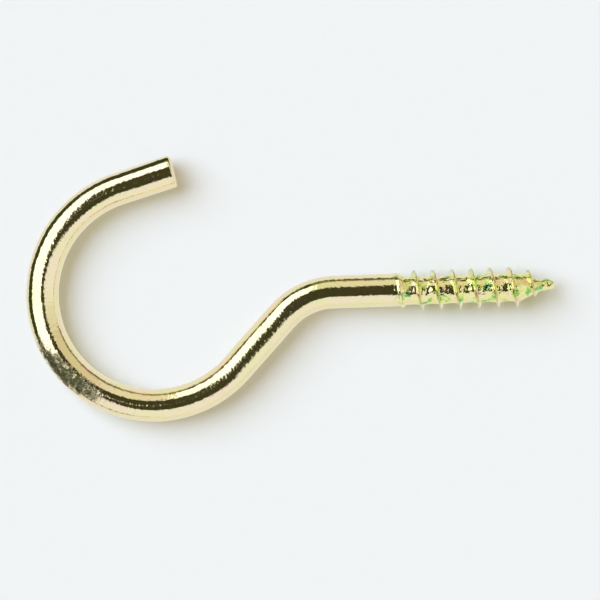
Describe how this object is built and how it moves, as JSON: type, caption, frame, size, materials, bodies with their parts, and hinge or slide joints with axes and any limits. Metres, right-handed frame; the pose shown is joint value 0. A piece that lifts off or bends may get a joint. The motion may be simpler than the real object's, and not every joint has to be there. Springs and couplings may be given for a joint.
{
  "type": "cup hook",
  "caption": "Round screw-in hook bent from plated steel wire, with a wood-screw thread on its shank, for hanging cups and small things.",
  "frame": {"origin": "on the shank's axis, where the screw thread begins", "axes": "+X along the shank to the screw's tip, +Y in the plane of the bends towards the hook's open side, +Z square to the plane of the bends"},
  "size_m": [0.0499, 0.0251, 0.0038],
  "materials": {
    "yellow_plating": "gloss"
  },
  "bodies": {
    "root": {"cup_hook": "yellow_plating"}
  },
  "joints": []
}
